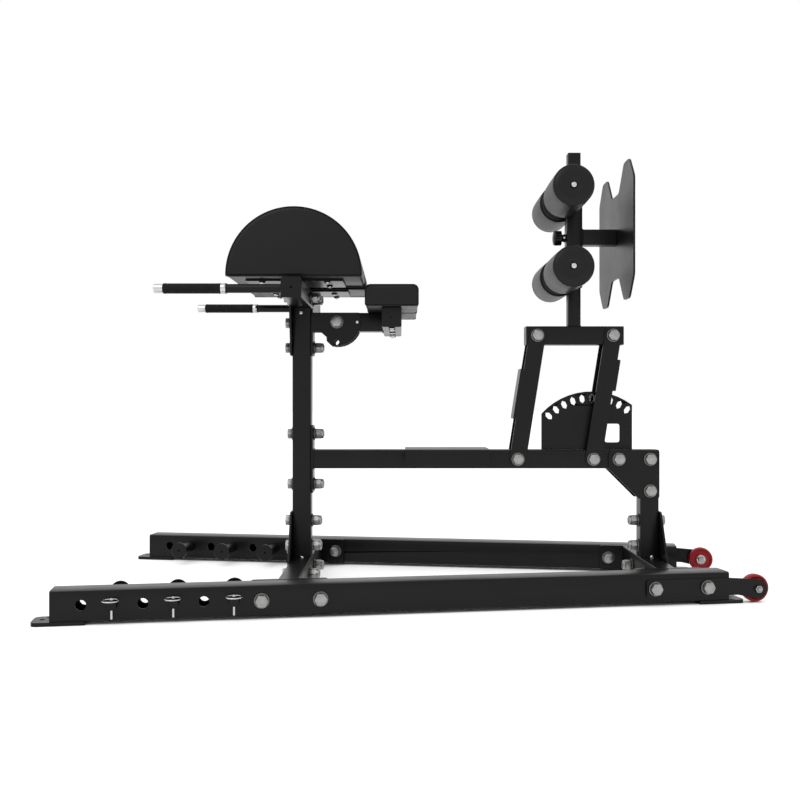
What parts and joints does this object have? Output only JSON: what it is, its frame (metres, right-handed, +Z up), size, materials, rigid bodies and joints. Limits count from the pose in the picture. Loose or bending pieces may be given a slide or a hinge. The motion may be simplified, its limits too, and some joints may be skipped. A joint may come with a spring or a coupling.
{
  "type": "glute ham developer",
  "caption": "Glute ham developer with a splayed steel base, half-round thigh pads, a folding knee pad and an adjustable roller foot carriage on a leaning linkage.",
  "frame": {"origin": "on the floor under the middle of the overall length and of the width", "axes": "+X along the length from the thigh pads to the foot plate, +Y across, +Z up"},
  "size_m": [1.7359, 1.0454, 1.1632],
  "materials": {
    "powder_coat": "satin black powder coat",
    "zinc": "zinc plated",
    "chrome": "polished",
    "vinyl": "matt black upholstery vinyl over foam",
    "grip_rubber": "matt black rubber sleeve",
    "black_plastic": "moulded black plastic",
    "polyurethane": "red cast polyurethane"
  },
  "bodies": {
    "frame": {"near_base_rail": "powder_coat", "far_base_rail": "powder_coat", "near_band_peg_1": "powder_coat", "near_band_peg_2": "powder_coat", "near_band_peg_3": "powder_coat", "far_band_peg_1": "powder_coat", "far_band_peg_2": "powder_coat", "far_band_peg_3": "powder_coat", "near_wheel_bracket": "powder_coat", "far_wheel_bracket": "powder_coat", "front_cross_member": "powder_coat", "rear_cross_member": "powder_coat", "front_base_plate": "powder_coat", "rear_base_plate": "powder_coat", "front_upright": "powder_coat", "rear_upright": "powder_coat", "main_beam": "powder_coat", "near_corner_gusset": "powder_coat", "far_corner_gusset": "powder_coat", "step_plate": "powder_coat", "index_plate": "powder_coat", "lower_front_pivot_bolt": "zinc", "lower_rear_pivot_bolt": "zinc", "pad_crossbar": "powder_coat", "head_plate": "powder_coat", "near_handle_tube": "powder_coat", "far_handle_tube": "powder_coat", "near_handle_collar": "chrome", "far_handle_collar": "chrome", "near_handle_grip": "grip_rubber", "far_handle_grip": "grip_rubber", "near_handle_end_cap": "chrome", "far_handle_end_cap": "chrome", "near_thigh_pad": "vinyl", "far_thigh_pad": "vinyl", "near_thigh_pad_plate": "powder_coat", "far_thigh_pad_plate": "powder_coat", "knee_bracket": "powder_coat", "knee_pivot_bolt": "zinc"},
    "front_link": {"front_link": "powder_coat"},
    "rear_link": {"rear_link": "powder_coat"},
    "link_lock_pin": {"link_lock_pin": "black_plastic"},
    "foot_carrier": {"foot_post": "powder_coat", "upper_front_pivot_bolt": "zinc", "upper_rear_pivot_bolt": "zinc"},
    "foot_carriage": {"foot_carriage": "powder_coat", "foot_plate": "powder_coat"},
    "carriage_pull_pin": {"carriage_pull_pin": "black_plastic"},
    "near_upper_roller": {"near_upper_roller": "vinyl"},
    "far_upper_roller": {"far_upper_roller": "vinyl"},
    "near_lower_roller": {"near_lower_roller": "vinyl"},
    "far_lower_roller": {"far_lower_roller": "vinyl"},
    "knee_arm": {"knee_arm": "powder_coat", "near_knee_pad": "vinyl", "far_knee_pad": "vinyl"},
    "knee_lock_pin": {"knee_lock_pin": "zinc"},
    "near_wheel": {"near_wheel_tyre": "polyurethane", "near_wheel_hub": "chrome"},
    "far_wheel": {"far_wheel_tyre": "polyurethane", "far_wheel_hub": "chrome"}
  },
  "joints": [
    {"name": "linkage_lean", "type": "hinge", "parent": "frame", "child": "rear_link", "pos_m": [0.47572, 0, 0.3413], "axis": [0, 1, 0], "range_deg": [-54, 27]},
    {"name": "front_link_lean", "type": "hinge", "parent": "frame", "child": "front_link", "pos_m": [0.27372, 0, 0.3413], "axis": [0, 1, 0], "range_deg": [-54, 27]},
    {"name": "carrier_level", "type": "hinge", "parent": "rear_link", "child": "foot_carrier", "pos_m": [0.52813, 0, 0.67218], "axis": [0, 1, 0], "range_deg": [-27, 54]},
    {"name": "carriage_slide", "type": "slide", "parent": "foot_carrier", "child": "foot_carriage", "axis": [0, 0, 1], "range_m": [-0.1, 0.075]},
    {"name": "pull_pin_slide", "type": "slide", "parent": "foot_carriage", "child": "carriage_pull_pin", "axis": [1, 0, 0], "range_m": [0, 0.006]},
    {"name": "link_pin_slide", "type": "slide", "parent": "rear_link", "child": "link_lock_pin", "axis": [0, -1, 0], "range_m": [0, 0.008]},
    {"name": "near_upper_roller_spin", "type": "hinge", "parent": "foot_carriage", "child": "near_upper_roller", "pos_m": [0.39363, -0.117, 1.03758], "axis": [0, 1, 0], "continuous": true},
    {"name": "far_upper_roller_spin", "type": "hinge", "parent": "foot_carriage", "child": "far_upper_roller", "pos_m": [0.39363, 0.117, 1.03758], "axis": [0, 1, 0], "continuous": true},
    {"name": "near_lower_roller_spin", "type": "hinge", "parent": "foot_carriage", "child": "near_lower_roller", "pos_m": [0.39363, -0.117, 0.83478], "axis": [0, 1, 0], "continuous": true},
    {"name": "far_lower_roller_spin", "type": "hinge", "parent": "foot_carriage", "child": "far_lower_roller", "pos_m": [0.39363, 0.117, 0.83478], "axis": [0, 1, 0], "continuous": true},
    {"name": "knee_fold", "type": "hinge", "parent": "frame", "child": "knee_arm", "pos_m": [-0.20958, 0, 0.708], "axis": [0, 1, 0], "range_deg": [0, 90]},
    {"name": "knee_pin_slide", "type": "slide", "parent": "knee_arm", "child": "knee_lock_pin", "axis": [0, -1, 0], "range_m": [0, 0.005]},
    {"name": "near_wheel_spin", "type": "hinge", "parent": "frame", "child": "near_wheel", "pos_m": [0.83662, -0.2214, 0.035], "axis": [-0.1564, 0.9877, 0], "continuous": true},
    {"name": "far_wheel_spin", "type": "hinge", "parent": "frame", "child": "far_wheel", "pos_m": [0.83662, 0.2214, 0.035], "axis": [0.1564, 0.9877, 0], "continuous": true}
  ],
  "couplings": [
    {"joint": "front_link_lean", "follows": "linkage_lean", "ratio": 1},
    {"joint": "carrier_level", "follows": "linkage_lean", "ratio": -1}
  ]
}
